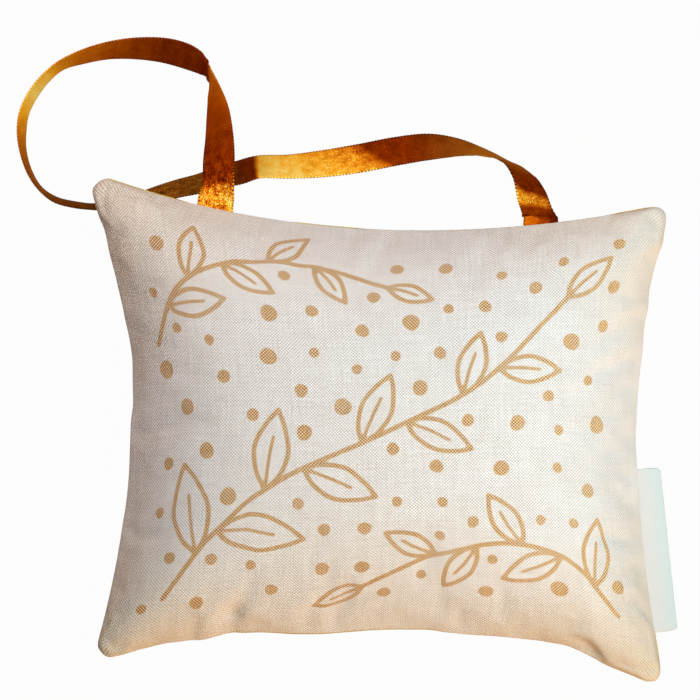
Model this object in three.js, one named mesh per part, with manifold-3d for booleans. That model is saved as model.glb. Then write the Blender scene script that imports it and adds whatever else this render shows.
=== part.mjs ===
// Hanging sachet: a stuffed cotton pillow with a ribbon loop in its top seam and a label in its side seam.
// Millimetres, +Z up. The sachet lies on its back, with its origin in the middle of the flat that it rests on.
// The printed front faces +Z, the ribbon leaves the seam on the +Y side and the label the one on the +X side.

import * as THREE from 'three';
import { mergeVertices } from 'three/addons/utils/BufferGeometryUtils.js';
import Module from 'manifold-3d';

// Sewn outline, between the points where its drawn-in sides would meet if the corners were sharp
const pillowWidth = 150.2;
const pillowHeight = 127;
const topWiderBy = 3.6;
const rightSideDrop = 8.4;
const cornerRadius = 3;

// How far the filling draws each side in, and where along it, from the left or from below, it is deepest
const drawnIn = { top: 11, right: 8.4, bottom: 12.6, left: 11 };
const deepestShares = { top: 0.48, right: 0.56, bottom: 0.58, left: 0.52 };

// Depth of the stuffed pillow: the seam's height over the floor, the crown over it and the flat it rests on
const seamHeight = 19.5;
const frontCrown = 22.5;
const restCut = 0.5;
const foldHeight = 1;

// How soon a face flattens out on its way from a seam to the crown, and how far both seams at a corner hold it down
const crownFlatnessShare = 3;
const cornerHoldShare = 1.8;

// Cloth and its seam
const clothThickness = 0.5;
const seamAllowance = 7;
const foldInset = 0.6;
const innerClearance = 0.5;

// Sewing thread
const threadSize = 0.3;
const threadClearance = 0.15;
const stitchInset = 1.8;
const handSewnLength = 50;
const handSewnCentreShare = 0.416;
const closingStitchLength = 3.2;
const closingStitchWidth = 1.2;

// Ribbon
const ribbonWidth = 9.5;
const ribbonThickness = 0.4;
const ribbonShares = [0.222, 0.778];
const ribbonShows = 1.3;
const tailGap = 0.3;
const tailInside = 5.4;

// Folded side label
const labelLength = 42.4;
const labelReach = 5.4;
const labelCloth = 0.16;
const labelFoldGap = 0.1;
const labelCentreShare = 0.288;
const labelShows = 0.6;
const labelInside = 5.8;

// Room between the two panels for the thickest piece that is sewn in
const sewnClearance = 0.16;
const labelThickness = 2 * labelCloth + labelFoldGap;
const seamGap = Math.max(ribbonThickness, labelThickness) + 2 * sewnClearance;

// Facets across and up a panel, and how strongly they crowd towards the seams
const columnCount = 24;
const rowCount = 20;
const crowdingShare = 0.75;

// The ribbon's route from its left root to its right one: x, y and z of its middle, and its tilt in degrees.
// A tilt of 0 lies flat, and 90 stands on the edge that is on the left of the way along it.
const ribbonRoute = [
  [-42, 64.3, 18.6, 29],
  [-41.85, 70.6, 16.3, 32],
  [-41.7, 76.8, 13.2, 40],
  [-42, 83, 9.8, 53],
  [-42.9, 88.2, 7, 69],
  [-44.5, 92.4, 5.4, 76],
  [-46.8, 95.5, 5, 64],
  [-49.9, 97.6, 4.7, 50],
  [-55.9, 99.35, 4.3, 47],
  [-63.4, 99.85, 4.5, 54],
  [-70.6, 99.2, 4.8, 63],
  [-77.3, 97.6, 5, 69],
  [-83.1, 95.3, 5.1, 76],
  [-87.1, 91.95, 5.2, 76],
  [-90.2, 88, 5.2, 75],
  [-92.6, 83.1, 5.2, 76],
  [-93.3, 78.3, 5.2, 77],
  [-92.9, 72.9, 5.2, 81],
  [-91.1, 67.3, 5.2, 83],
  [-88.4, 63.2, 5.2, 84],
  [-84.5, 60.35, 5.2, 81],
  [-79.3, 59, 5.2, 80],
  [-74.5, 58.5, 5.2, 80],
  [-69.3, 58.65, 5.1, 74],
  [-64.1, 59.75, 5, 68],
  [-58.1, 61.55, 4.8, 62],
  [-52.4, 63.25, 4.7, 60],
  [-46.8, 64.55, 4.6, 57],
  [-41.5, 66.25, 4.4, 53],
  [-36.8, 67.35, 4.2, 49],
  [-31.6, 68.85, 4.2, 51],
  [-23.8, 68.95, 4.1, 49],
  [-14.45, 69.75, 3.7, 42],
  [-5.1, 71.15, 3.5, 38],
  [4.25, 72.95, 3.5, 38],
  [12.6, 74.15, 4.2, 45],
  [19.8, 74.15, 5.6, 60],
  [25.5, 73.15, 7.5, 74],
  [30.2, 71.55, 9.6, 81],
  [33.8, 69.9, 11.7, 84],
  [36.6, 67.2, 14.3, 64],
  [38.8, 63.9, 16.6, 47],
  [40.3, 60.1, 18.4, 36],
];

const wasm = await Module();
wasm.setup();

const frontCotton = new THREE.MeshStandardMaterial({ color: 0xe2dad2, roughness: 0.9 });
const backCotton = new THREE.MeshStandardMaterial({ color: 0xc9a91a, roughness: 0.9 });
const labelCotton = new THREE.MeshStandardMaterial({ color: 0xf3efe8, roughness: 0.85 });
const satin = new THREE.MeshStandardMaterial({ color: 0xb3651a, roughness: 0.35 });
const lavender = new THREE.MeshStandardMaterial({ color: 0x6f6a86, roughness: 0.95 });
const paleThread = new THREE.MeshStandardMaterial({ color: 0xe9e2d4, roughness: 0.8 });

// Plan of the pillow

const topHalfWidth = pillowWidth / 2 + topWiderBy / 4;
const bottomHalfWidth = pillowWidth / 2 - topWiderBy / 4;
const topLeft = new THREE.Vector2(-topHalfWidth, (pillowHeight + rightSideDrop) / 2);
const topRight = new THREE.Vector2(topHalfWidth, (pillowHeight - rightSideDrop) / 2);
const bottomLeft = new THREE.Vector2(-bottomHalfWidth, (rightSideDrop - pillowHeight) / 2);
const bottomRight = new THREE.Vector2(bottomHalfWidth, (-rightSideDrop - pillowHeight) / 2);

// A point on a drawn-in side, from one sharp corner to the other. turn is 1 where inwards is to the left.
function bowedSide(from, to, depth, deepestShare, turn, t) {
  const lean = (1 - deepestShare) / deepestShare;
  const along = (lean * t) / (lean * t + 1 - t);
  const bow = depth * 4 * along * (1 - along) * turn;
  const way = to.clone().sub(from).normalize();
  return from.clone().lerp(to, t).add(new THREE.Vector2(-way.y, way.x).multiplyScalar(bow));
}

const sharpSides = {
  top: (t) => bowedSide(topLeft, topRight, drawnIn.top, deepestShares.top, -1, t),
  bottom: (t) => bowedSide(bottomLeft, bottomRight, drawnIn.bottom, deepestShares.bottom, 1, t),
  left: (t) => bowedSide(bottomLeft, topLeft, drawnIn.left, deepestShares.left, -1, t),
  right: (t) => bowedSide(bottomRight, topRight, drawnIn.right, deepestShares.right, 1, t),
};

// The arc that rounds the corner where two sides meet, each given as a function that starts at the corner
function cornerArc(sideA, sideB) {
  const tip = sideA(0);
  const nearShare = 0.03;
  const wayA = sideA(nearShare).sub(tip).normalize();
  const wayB = sideB(nearShare).sub(tip).normalize();
  const middle = wayA.clone().add(wayB).normalize();
  const half = Math.acos(middle.dot(wayA));
  const centre = middle.clone().multiplyScalar(cornerRadius / Math.sin(half)).add(tip);
  return { tip, middle, half, centre, reach: cornerRadius / Math.tan(half) };
}

const reverse = (side) => (t) => side(1 - t);
const arcs = {
  topLeft: cornerArc(sharpSides.top, reverse(sharpSides.left)),
  topRight: cornerArc(reverse(sharpSides.top), reverse(sharpSides.right)),
  bottomLeft: cornerArc(sharpSides.bottom, sharpSides.left),
  bottomRight: cornerArc(reverse(sharpSides.bottom), sharpSides.right),
};

// How far rounding its two corners moves a point of a side
function roundingOf(side, startArc, endArc, t) {
  const point = side(t);
  for (const arc of [startArc, endArc]) {
    const offset = point.clone().sub(arc.tip);
    const share = offset.length() / arc.reach;
    if (share < 1) {
      const angle = -Math.sign(arc.middle.cross(offset)) * share * (Math.PI / 2 - arc.half);
      const spoke = arc.middle.clone().negate().rotateAround(new THREE.Vector2(), angle);
      return spoke.multiplyScalar(cornerRadius).add(arc.centre).sub(point);
    }
  }
  return new THREE.Vector2();
}

const roundings = {
  top: (t) => roundingOf(sharpSides.top, arcs.topLeft, arcs.topRight, t),
  bottom: (t) => roundingOf(sharpSides.bottom, arcs.bottomLeft, arcs.bottomRight, t),
  left: (t) => roundingOf(sharpSides.left, arcs.bottomLeft, arcs.topLeft, t),
  right: (t) => roundingOf(sharpSides.right, arcs.bottomRight, arcs.topRight, t),
};
const roundingFade = 3 * cornerRadius;

// A patch between four sides: u runs from left to right and v from bottom to top, and each side fades inwards
function patch({ top, bottom, left, right }, fade, u, v) {
  const [fromLeft, fromRight] = [fade(u, pillowWidth), fade(1 - u, pillowWidth)];
  const [fromBottom, fromTop] = [fade(v, pillowHeight), fade(1 - v, pillowHeight)];
  const sum = new THREE.Vector2();
  sum.addScaledVector(left(v), fromLeft).addScaledVector(right(v), fromRight);
  sum.addScaledVector(bottom(u), fromBottom).addScaledVector(top(u), fromTop);
  sum.addScaledVector(bottom(0), -fromLeft * fromBottom).addScaledVector(bottom(1), -fromRight * fromBottom);
  sum.addScaledVector(top(0), -fromLeft * fromTop).addScaledVector(top(1), -fromRight * fromTop);
  return sum;
}

// A point of the plan: the sharp-cornered sides carry through the pillow, and the roundings fade out quickly
function planPoint(u, v) {
  const sharp = patch(sharpSides, (share) => 1 - share, u, v);
  const quickly = (share, size) => Math.max(0, 1 - (share * size) / roundingFade);
  return sharp.add(patch(roundings, quickly, THREE.MathUtils.clamp(u, 0, 1), THREE.MathUtils.clamp(v, 0, 1)));
}

// The same point drawn in from the seams by a distance
function insetPoint(u, v, distance) {
  const du = distance / sharpSides.left(v).distanceTo(sharpSides.right(v));
  const dv = distance / sharpSides.bottom(u).distanceTo(sharpSides.top(u));
  return planPoint(du + u * (1 - 2 * du), dv + v * (1 - 2 * dv));
}

// Shares across a panel, crowded towards its seams
function spread(index, count) {
  const even = index / count;
  const crowded = (1 - Math.cos(Math.PI * even)) / 2;
  return even + (crowded - even) * crowdingShare;
}

// Stuffed faces

const backCrown = seamHeight + restCut - seamGap / 2 - foldHeight;
const faces = {
  front: { side: 1, crown: frontCrown },
  back: { side: -1, crown: backCrown },
};

// How much of the crown a point inside the seams has: all of it in the middle, and little near a corner
function crownShare(u, v) {
  const acrossShare = 1 - Math.abs(1 - 2 * u) ** crownFlatnessShare;
  const upShare = 1 - Math.abs(1 - 2 * v) ** crownFlatnessShare;
  return (acrossShare ** -cornerHoldShare + upShare ** -cornerHoldShare - 1) ** (-1 / cornerHoldShare);
}

// Height of a face's outer surface over the floor, before the back is pressed flat
function faceHeight(face, u, v) {
  const atSeam = u <= 0 || u >= 1 || v <= 0 || v >= 1;
  return seamHeight + face.side * (seamGap / 2 + (atSeam ? 0 : foldHeight + face.crown * crownShare(u, v)));
}

function facePoint(face, u, v) {
  const plan = planPoint(u, v);
  return new THREE.Vector3(plan.x, plan.y, faceHeight(face, u, v));
}

// A face's point moved inwards, square to the face. The back is flat where it would pass below the floor.
function insetFacePoint(face, u, v, depth) {
  const stepShare = 0.004;
  const centre = facePoint(face, u, v);
  const alongU = facePoint(face, u < 0.5 ? u + stepShare : u - stepShare, v).sub(centre);
  const alongV = facePoint(face, u, v < 0.5 ? v + stepShare : v - stepShare).sub(centre);
  const normal = alongU.cross(alongV).normalize();
  if (normal.z * face.side < 0) {
    normal.negate();
  }
  const point = centre.addScaledVector(normal, -depth);
  point.z = Math.max(point.z, depth);
  return point;
}

// Meshes

// A list of vertices with faces between them, turned inside out on the back so that faces point outwards
class Skin {
  constructor(turned = false) {
    this.positions = [];
    this.indices = [];
    this.turned = turned;
  }

  add(point) {
    this.positions.push(point.x, point.y, point.z);
    return this.positions.length / 3 - 1;
  }

  triangle(a, b, c) {
    this.indices.push(...(this.turned ? [a, c, b] : [a, b, c]));
  }

  quad(a, b, c, d) {
    this.triangle(a, b, c);
    this.triangle(a, c, d);
  }

  // A band between two closed loops of vertices, facing left of the way along the first one
  band(from, to) {
    from.forEach((vertex, i) => {
      const next = (i + 1) % from.length;
      this.quad(vertex, from[next], to[next], to[i]);
    });
  }

  geometry() {
    const geometry = new THREE.BufferGeometry();
    geometry.setAttribute('position', new THREE.Float32BufferAttribute(this.positions, 3));
    geometry.setIndex(this.indices);
    return geometry;
  }
}

// The grid places round the edge of a field of cells, anticlockwise seen from above
function rim(first, lastColumn, lastRow) {
  const places = [];
  for (let i = first; i < lastColumn; i += 1) places.push([i, first]);
  for (let j = first; j < lastRow; j += 1) places.push([lastColumn, j]);
  for (let i = lastColumn; i > first; i -= 1) places.push([i, lastRow]);
  for (let j = lastRow; j > first; j -= 1) places.push([first, j]);
  return places;
}

// A field of vertices over the plan, from its grid place "first" on each side, with its faces
function field(skin, first, pointAt, up) {
  const vertices = [];
  for (let i = first; i <= columnCount - first; i += 1) {
    vertices[i] = [];
    for (let j = first; j <= rowCount - first; j += 1) {
      vertices[i][j] = skin.add(pointAt(spread(i, columnCount), spread(j, rowCount), i, j));
    }
  }
  for (let i = first; i < columnCount - first; i += 1) {
    for (let j = first; j < rowCount - first; j += 1) {
      const corners = [vertices[i][j], vertices[i + 1][j], vertices[i + 1][j + 1], vertices[i][j + 1]];
      skin.quad(...(up ? corners : corners.reverse()));
    }
  }
  return rim(first, columnCount - first, rowCount - first).map(([i, j]) => vertices[i][j]);
}

const seamRim = rim(0, columnCount, rowCount).map(([i, j]) => [spread(i, columnCount), spread(j, rowCount)]);

// A closed loop of vertices at one height, drawn in from the seam by a distance
function insetLoop(skin, distance, height) {
  return seamRim.map(([u, v]) => {
    const plan = insetPoint(u, v, distance);
    return skin.add(new THREE.Vector3(plan.x, plan.y, height));
  });
}

// A panel of cloth: its outer and inner faces, and the allowance that is turned in at the seam
function panelGeometry(face) {
  const skin = new Skin(face.side < 0);
  const foldTop = seamHeight + face.side * (seamGap / 2 + clothThickness);
  const foldBottom = seamHeight + (face.side * seamGap) / 2;
  const outer = field(skin, 0, (u, v) => insetFacePoint(face, u, v, 0), true);
  const inner = field(
    skin,
    0,
    (u, v, i, j) => {
      if (i > 0 && i < columnCount && j > 0 && j < rowCount) {
        return insetFacePoint(face, u, v, clothThickness);
      }
      const plan = insetPoint(u, v, foldInset);
      return new THREE.Vector3(plan.x, plan.y, foldTop);
    },
    false,
  );
  const lowEdge = insetLoop(skin, seamAllowance, foldBottom);
  const highEdge = insetLoop(skin, seamAllowance, foldTop);
  skin.band([...lowEdge], [...outer]);
  skin.band([...highEdge], [...lowEdge]);
  skin.band([...inner], [...highEdge]);
  return skin.geometry();
}

// A solid that manifold-3d can cut
function solidOf(geometry) {
  const bare = new THREE.BufferGeometry();
  bare.setAttribute('position', geometry.getAttribute('position'));
  bare.setIndex(geometry.getIndex());
  const merged = mergeVertices(bare);
  return new wasm.Manifold(
    new wasm.Mesh({
      numProp: 3,
      vertProperties: new Float32Array(merged.getAttribute('position').array),
      triVerts: new Uint32Array(merged.getIndex().array),
    }),
  );
}

function geometryOf(solid) {
  const mesh = solid.getMesh();
  const geometry = new THREE.BufferGeometry();
  geometry.setAttribute('position', new THREE.BufferAttribute(mesh.vertProperties, 3));
  geometry.setIndex(new THREE.BufferAttribute(mesh.triVerts, 1));
  return geometry;
}

// The filling fits inside both panels and leaves a slot for their turned-in allowances and the seam's threads
function fillingGeometry() {
  const skin = new Skin();
  const depth = clothThickness + innerClearance;
  const upper = field(skin, 1, (u, v) => insetFacePoint(faces.front, u, v, depth), true);
  const lower = field(skin, 1, (u, v) => insetFacePoint(faces.back, u, v, depth), false);
  skin.band(lower, upper);

  const slot = new Skin();
  const slotHalf = seamGap / 2 + clothThickness + threadClearance + threadSize + innerClearance;
  const outerLow = insetLoop(slot, -foldInset, seamHeight - slotHalf);
  const outerHigh = insetLoop(slot, -foldInset, seamHeight + slotHalf);
  const innerLow = insetLoop(slot, seamAllowance + innerClearance, seamHeight - slotHalf);
  const innerHigh = insetLoop(slot, seamAllowance + innerClearance, seamHeight + slotHalf);
  slot.band(outerLow, outerHigh);
  slot.band(outerHigh, innerHigh);
  slot.band(innerHigh, innerLow);
  slot.band(innerLow, outerLow);

  return geometryOf(solidOf(skin.geometry()).subtract(solidOf(slot.geometry())));
}

// A strip or thread swept along points. Each point has two half widths that span its four-cornered section.
function sweepGeometry(stations) {
  const skin = new Skin();
  const rings = stations.map(({ centre, across, rise }) =>
    [
      [-1, -1],
      [1, -1],
      [1, 1],
      [-1, 1],
    ].map(([a, b]) => skin.add(centre.clone().addScaledVector(across, a).addScaledVector(rise, b))),
  );
  for (let i = 1; i < rings.length; i += 1) {
    skin.band(rings[i], rings[i - 1]);
  }
  skin.quad(...rings[0]);
  skin.quad(...[...rings[rings.length - 1]].reverse());
  return skin.geometry();
}

// A thread that lies level along points of the plan
function levelThread(plan, height) {
  const stations = plan.map((point, i) => {
    const before = plan[Math.max(i - 1, 0)];
    const after = plan[Math.min(i + 1, plan.length - 1)];
    const wayIn = point.clone().sub(before);
    const wayOut = after.clone().sub(point);
    const way = wayIn.clone().normalize().add(wayOut.clone().normalize()).normalize();
    const firm = wayIn.lengthSq() > 0 ? wayIn.normalize() : wayOut.normalize();
    const mitre = Math.max(way.dot(firm), 0.5);
    const across = new THREE.Vector3(way.y, -way.x, 0).multiplyScalar(threadSize / 2 / mitre);
    const centre = new THREE.Vector3(point.x, point.y, height);
    return { centre, across, rise: new THREE.Vector3(0, 0, threadSize / 2) };
  });
  return sweepGeometry(stations);
}

// The turning gap's two ends, as shares along the bottom seam
const gapHalfShare = handSewnLength / 2 / (2 * bottomHalfWidth);
const gapStartShare = handSewnCentreShare - gapHalfShare;
const gapEndShare = handSewnCentreShare + gapHalfShare;

// The machine seam runs from one end of the turning gap round to the other, and cuts across the corner tips
function machineSeam() {
  const tips = ([u, v]) => (u <= 0 || u >= 1) && (v <= 0 || v >= 1);
  const loop = seamRim.filter(([u, v]) => !tips([u, v]) && (v > 0 || u > gapEndShare || u < gapStartShare));
  const first = loop.findIndex(([u, v]) => v <= 0 && u > gapEndShare);
  const ordered = [[gapEndShare, 0], ...loop.slice(first), ...loop.slice(0, first), [gapStartShare, 0]];
  return ordered.map(([u, v]) => insetPoint(u, v, stitchInset));
}

// The hand stitches that close the gap run to and fro between the two folds
function closingStitches() {
  const crossings = 2 * Math.round(handSewnLength / closingStitchLength);
  const points = [];
  for (let i = 0; i <= crossings; i += 1) {
    const share = gapStartShare + ((gapEndShare - gapStartShare) * i) / crossings;
    points.push(insetPoint(share, 0, foldInset + (i % 2) * closingStitchWidth));
  }
  return points;
}

// Ribbon

const leftRoot = planPoint(ribbonShares[0], 1);
const rightRoot = planPoint(ribbonShares[1], 1);
const rootLine = rightRoot.clone().sub(leftRoot).normalize();
const outwards = new THREE.Vector2(-rootLine.y, rootLine.x);

// The two ends of the line that the loop swings about, just outside the seam
const swingLeft = leftRoot.clone().addScaledVector(outwards, ribbonShows);
const swingRight = rightRoot.clone().addScaledVector(outwards, ribbonShows);

function ribbonGeometry() {
  const flat = new THREE.Vector3(rootLine.x, rootLine.y, 0).multiplyScalar(ribbonWidth / 2);
  const up = new THREE.Vector3(0, 0, ribbonThickness / 2);
  const start = new THREE.Vector3(swingLeft.x, swingLeft.y, seamHeight);
  const end = new THREE.Vector3(swingRight.x, swingRight.y, seamHeight);
  const middles = [start, ...ribbonRoute.map(([x, y, z]) => new THREE.Vector3(x, y, z)), end];
  const tilts = [0, ...ribbonRoute.map((row) => row[3]), 0];
  const curve = new THREE.CatmullRomCurve3(middles, false, 'centripetal');
  const ringCount = 2;
  const stations = [];
  for (let i = 0; i <= (middles.length - 1) * ringCount; i += 1) {
    const place = i / ringCount;
    const t = place / (middles.length - 1);
    const low = Math.floor(place);
    const high = Math.min(low + 1, tilts.length - 1);
    const tilt = THREE.MathUtils.degToRad(THREE.MathUtils.lerp(tilts[low], tilts[high], place - low));
    const way = curve.getTangent(t);
    const level = new THREE.Vector3(way.y, -way.x, 0).normalize();
    const rise = new THREE.Vector3().crossVectors(level, way);
    const across = level.multiplyScalar(Math.cos(tilt)).addScaledVector(rise, Math.sin(tilt));
    const normal = new THREE.Vector3().crossVectors(across, way);
    stations.push({
      centre: curve.getPoint(t),
      across: across.multiplyScalar(ribbonWidth / 2),
      rise: normal.multiplyScalar(ribbonThickness / 2),
    });
  }
  stations[0] = { centre: start, across: flat, rise: up };
  stations[stations.length - 1] = { centre: end, across: flat.clone().negate(), rise: up };
  return sweepGeometry(stations);
}

// Assembly

const sachet = new THREE.Group();

function addMesh(name, geometry, material, parent = sachet) {
  const mesh = new THREE.Mesh(geometry, material);
  mesh.name = name;
  parent.add(mesh);
  return mesh;
}

addMesh('front_panel', panelGeometry(faces.front), frontCotton);
addMesh('back_panel', panelGeometry(faces.back), backCotton);
addMesh('lavender_filling', fillingGeometry(), lavender);

const threadLift = seamGap / 2 + clothThickness + threadClearance + threadSize / 2;
addMesh('needle_thread', levelThread(machineSeam(), seamHeight + threadLift), paleThread);
addMesh('bobbin_thread', levelThread(machineSeam(), seamHeight - threadLift), paleThread);
addMesh('closing_thread', levelThread(closingStitches(), seamHeight), paleThread);

addMesh('hanging_ribbon', ribbonGeometry(), satin);
for (const [name, root] of [
  ['ribbon_end_left', swingLeft],
  ['ribbon_end_right', swingRight],
]) {
  const length = ribbonShows + tailInside - tailGap;
  const tail = addMesh(name, new THREE.BoxGeometry(ribbonWidth, length, ribbonThickness), satin);
  const middle = root.clone().addScaledVector(outwards, -tailGap - length / 2);
  tail.position.set(middle.x, middle.y, seamHeight);
  tail.rotation.z = rootLine.angle();
}

// The label's root line is the chord of the seam between its two ends
const labelHalfShare = labelLength / 2 / pillowHeight;
const labelLow = planPoint(1, labelCentreShare - labelHalfShare);
const labelHigh = planPoint(1, labelCentreShare + labelHalfShare);
const labelWay = labelHigh.clone().sub(labelLow).normalize();
const labelOut = new THREE.Vector2(labelWay.y, -labelWay.x);
const label = new THREE.Group();
const labelStart = labelLow.clone().addScaledVector(labelOut, labelShows);
label.position.set(labelStart.x, labelStart.y, seamHeight);
label.rotation.z = labelWay.angle();
sachet.add(label);

// Two layers of the label's cloth, joined by the fold at its outer edge. Its shape lies across the label.
function foldedLabelShape() {
  const outerRadius = labelThickness / 2;
  const innerRadius = labelFoldGap / 2;
  const straight = labelReach - outerRadius;
  const shape = new THREE.Shape();
  shape.moveTo(0, -outerRadius);
  shape.lineTo(straight, -outerRadius);
  shape.absarc(straight, 0, outerRadius, -Math.PI / 2, Math.PI / 2, false);
  shape.lineTo(0, outerRadius);
  shape.lineTo(0, innerRadius);
  shape.lineTo(straight, innerRadius);
  shape.absarc(straight, 0, innerRadius, Math.PI / 2, -Math.PI / 2, true);
  shape.lineTo(0, -innerRadius);
  shape.closePath();
  return shape;
}

const labelSpan = labelHigh.distanceTo(labelLow);
const labelBody = new THREE.ExtrudeGeometry(foldedLabelShape(), {
  depth: labelSpan,
  bevelEnabled: false,
  curveSegments: 6,
});
const flap = addMesh('side_label', labelBody, labelCotton, label);
flap.setRotationFromMatrix(
  new THREE.Matrix4().makeBasis(
    new THREE.Vector3(0, -1, 0),
    new THREE.Vector3(0, 0, -1),
    new THREE.Vector3(1, 0, 0),
  ),
);

const hiddenLabel = labelShows + labelInside - tailGap;
const sewnEdge = addMesh(
  'label_sewn_edge',
  new THREE.BoxGeometry(labelSpan, hiddenLabel, labelThickness),
  labelCotton,
  label,
);
sewnEdge.position.set(labelSpan / 2, tailGap + hiddenLabel / 2, 0);

export default sachet;
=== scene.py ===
# Hanging sachet, dressed: printed cotton cover, satin ribbon, folded label, stitching and filling.
# The tables are in millimetres and the meshes in metres.

import math
import random

import bmesh
import bpy
import numpy as np
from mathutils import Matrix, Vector, noise


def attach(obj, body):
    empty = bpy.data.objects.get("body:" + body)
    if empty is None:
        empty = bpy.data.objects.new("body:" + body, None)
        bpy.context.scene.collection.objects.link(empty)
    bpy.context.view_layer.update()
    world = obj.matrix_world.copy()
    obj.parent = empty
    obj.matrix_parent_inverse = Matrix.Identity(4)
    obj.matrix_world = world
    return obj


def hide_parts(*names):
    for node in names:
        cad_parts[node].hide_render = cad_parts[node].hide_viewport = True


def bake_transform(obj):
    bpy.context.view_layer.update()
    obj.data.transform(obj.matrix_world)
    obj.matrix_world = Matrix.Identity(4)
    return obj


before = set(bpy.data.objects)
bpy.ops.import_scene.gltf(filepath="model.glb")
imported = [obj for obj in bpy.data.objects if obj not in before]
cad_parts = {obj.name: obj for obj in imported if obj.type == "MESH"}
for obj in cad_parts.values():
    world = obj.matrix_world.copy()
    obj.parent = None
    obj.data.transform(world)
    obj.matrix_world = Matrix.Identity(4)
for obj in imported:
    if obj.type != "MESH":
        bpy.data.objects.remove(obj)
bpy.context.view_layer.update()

MM = 0.001

# Sewn outline, between its sharp corners
PILLOW_WIDTH, PILLOW_HEIGHT = 150.2, 127
TOP_WIDER_BY, RIGHT_SIDE_DROP = 3.6, 8.4
CORNER_RADIUS = 3
DRAWN_IN = {"top": 11, "right": 8.4, "bottom": 12.6, "left": 11}
DEEPEST = {"top": 0.48, "right": 0.56, "bottom": 0.58, "left": 0.52}

# Depth of the stuffed pillow
SEAM_HEIGHT = 19.5
FRONT_RISE = 23.8
BACK_DROP = 20.4
SEAM_ALLOWANCE = 7

# How far the sewn outline lies outside its smooth curve: shares of each side and the millimetres there
OUTLINE_TRIMS = {
    "left": [
        (0, 0.2), (0.04, 0.4), (0.12, 0.5), (0.2, 0.55), (0.28, 0.6), (0.31, 0.4), (0.37, 0.4), (0.43, 0.6),
        (0.49, 0.6), (0.52, -0.1), (0.57, -0.1), (0.615, -0.5), (0.665, -0.1), (0.7, 0.4), (0.74, 0.5),
        (0.78, 0.8), (0.83, 1.1), (0.877, 0.65), (0.91, 1.2), (0.96, 0.8), (1, 0.4),
    ],
    "right": [
        (0, -0.3), (0.06, 0), (0.4, 0), (0.47, -0.1), (0.515, -0.35), (0.55, -0.1), (0.62, 0.15), (0.667, 0.4),
        (0.7, 0.65), (0.73, 0.4), (0.757, 0.15), (0.78, 0.8), (0.81, 0.15), (0.84, 0.15), (0.89, 0.4), (0.916, 0.9),
        (0.94, 0.4), (0.97, -0.1), (1, 0.2),
    ],
    "bottom": [
        (0, 0.3), (0.045, 0.15), (0.06, -0.1), (0.087, -0.65), (0.115, -1.15), (0.144, -0.9), (0.17, -0.9),
        (0.186, -0.4), (0.2, -0.65), (0.228, -1.4), (0.242, -1.7), (0.256, -1.15), (0.284, -0.9), (0.31, -0.4),
        (0.325, -0.1), (0.34, 0.4), (0.368, 0.65), (0.396, 0.9), (0.438, 0.65), (0.466, 0.4), (0.494, 0.15),
        (0.564, -0.1), (0.578, -0.4), (0.592, -0.1), (0.62, 0.4), (0.648, 0.4), (0.676, 0.15), (0.718, -0.4),
        (0.746, -0.65), (0.774, -1.15), (0.802, -1.4), (0.82, -1.7), (0.832, -1.7), (0.846, -1.3), (0.868, -0.85),
        (0.887, -0.05), (0.907, 0.1), (0.96, -0.1), (1, -0.4),
    ],
    "top": [(0, 0), (1, 0)],
}

# Where the seam rolls to the front and the back shows past it: side, from and to as shares of it, and how far
BACK_SHOWS = [
    ("top", 0.03, 0.165, 0.45), ("top", 0.36, 0.47, 0.35), ("top", 0.9, 0.965, 0.5), ("bottom", 0.23, 0.61, 0.4),
    ("bottom", 0.09, 0.12, 0.4), ("right", 0.065, 0.15, 0.4), ("left", 0.73, 0.77, 0.3),
]

# Cloth cells across and up, and how strongly they crowd towards the seams
COLUMNS, ROWS = 76, 64
CROWDING = 0.5

# Cotton: threads to the millimetre
THREADS = 2.35

# Ribbon
RIBBON_WIDTH, RIBBON_THICKNESS = 9.5, 0.4
RIBBON_SHARES = (0.222, 0.778)
RIBBON_SHOWS = 1.3
TAIL_INSIDE = 5.4

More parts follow.
